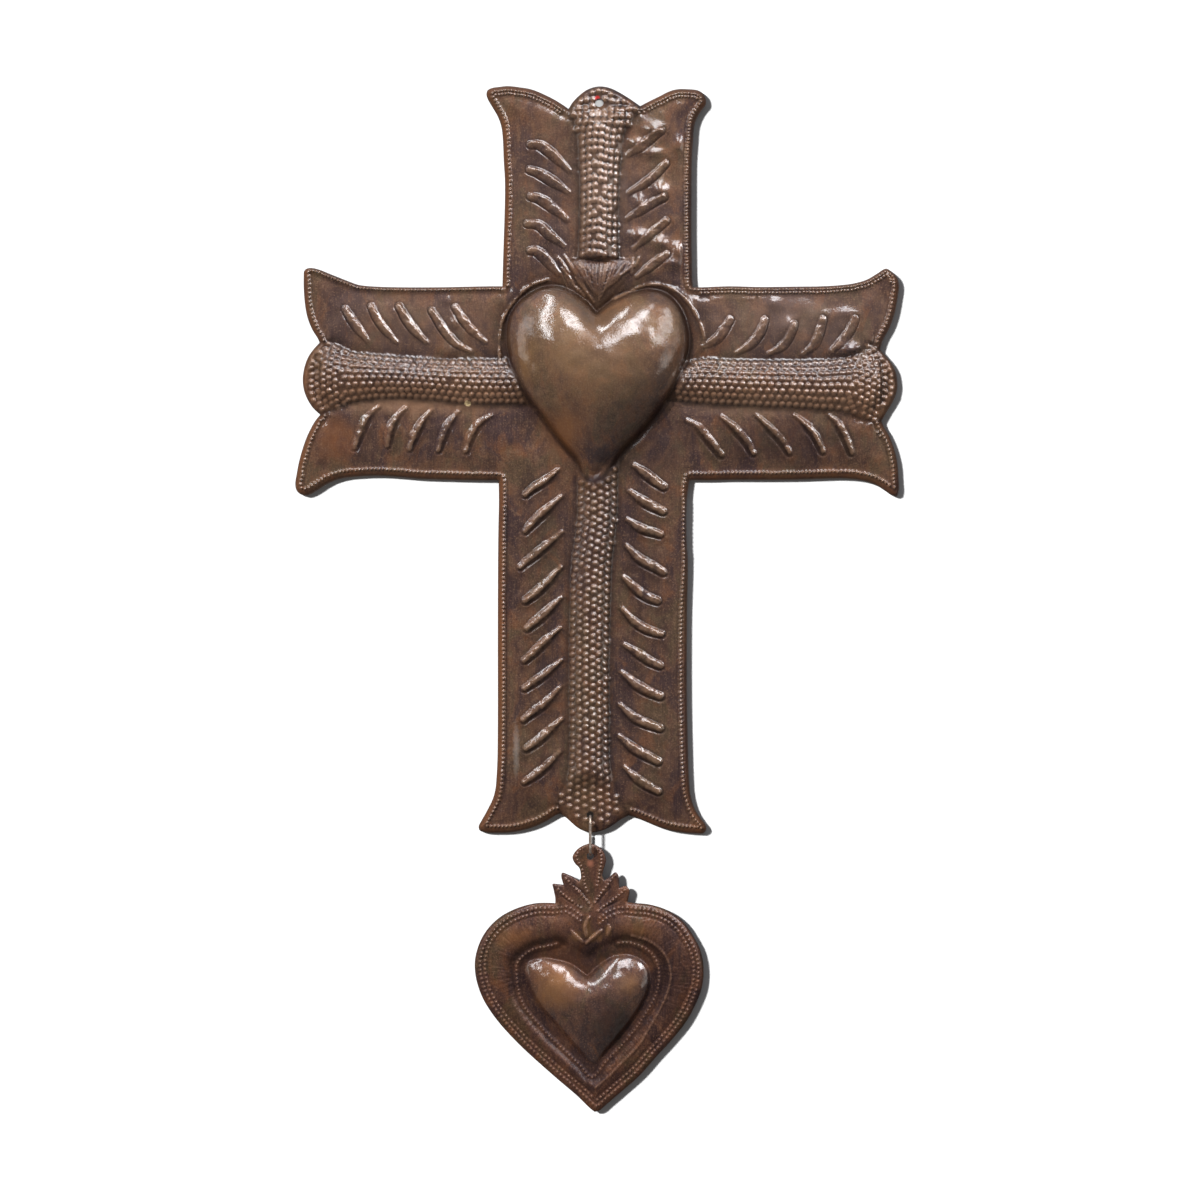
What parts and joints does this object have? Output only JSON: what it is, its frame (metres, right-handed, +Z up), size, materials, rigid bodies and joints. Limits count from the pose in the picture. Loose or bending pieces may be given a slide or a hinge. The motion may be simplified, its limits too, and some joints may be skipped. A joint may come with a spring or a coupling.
{
  "type": "sacred heart wall cross",
  "caption": "Hammered sheet-steel wall cross with flared arms, pebbled ridges and a raised heart; a flaming-heart pendant swings below it on a wire link.",
  "frame": {"origin": "centre of the nail hole in the top lobe, in the middle of the sheet's thickness", "axes": "+Z up the shaft of the cross, +X to the viewer's right, -Y out of the front towards the viewer, +Y towards the wall"},
  "size_m": [0.2538, 0.0199, 0.4313],
  "materials": {
    "drum_steel": "brown patina under clear lacquer, satin gloss",
    "pendant_steel": "red-brown patina under clear lacquer, satin gloss",
    "wire": "drawn wire, lightly browned"
  },
  "bodies": {
    "cross": {"cross_sheet": "drum_steel"},
    "link": {"wire_link": "wire"},
    "pendant": {"heart_pendant": "pendant_steel"}
  },
  "joints": [
    {"name": "link_sway", "type": "hinge", "parent": "cross", "child": "link", "pos_m": [-0.00378, 0, -0.29969], "axis": [0, 1, 0], "range_deg": [-35, 35]},
    {"name": "pendant_lift", "type": "hinge", "parent": "link", "child": "pendant", "pos_m": [-0.00378, 0, -0.31262], "axis": [-1, 0, 0], "range_deg": [0, 75]}
  ]
}
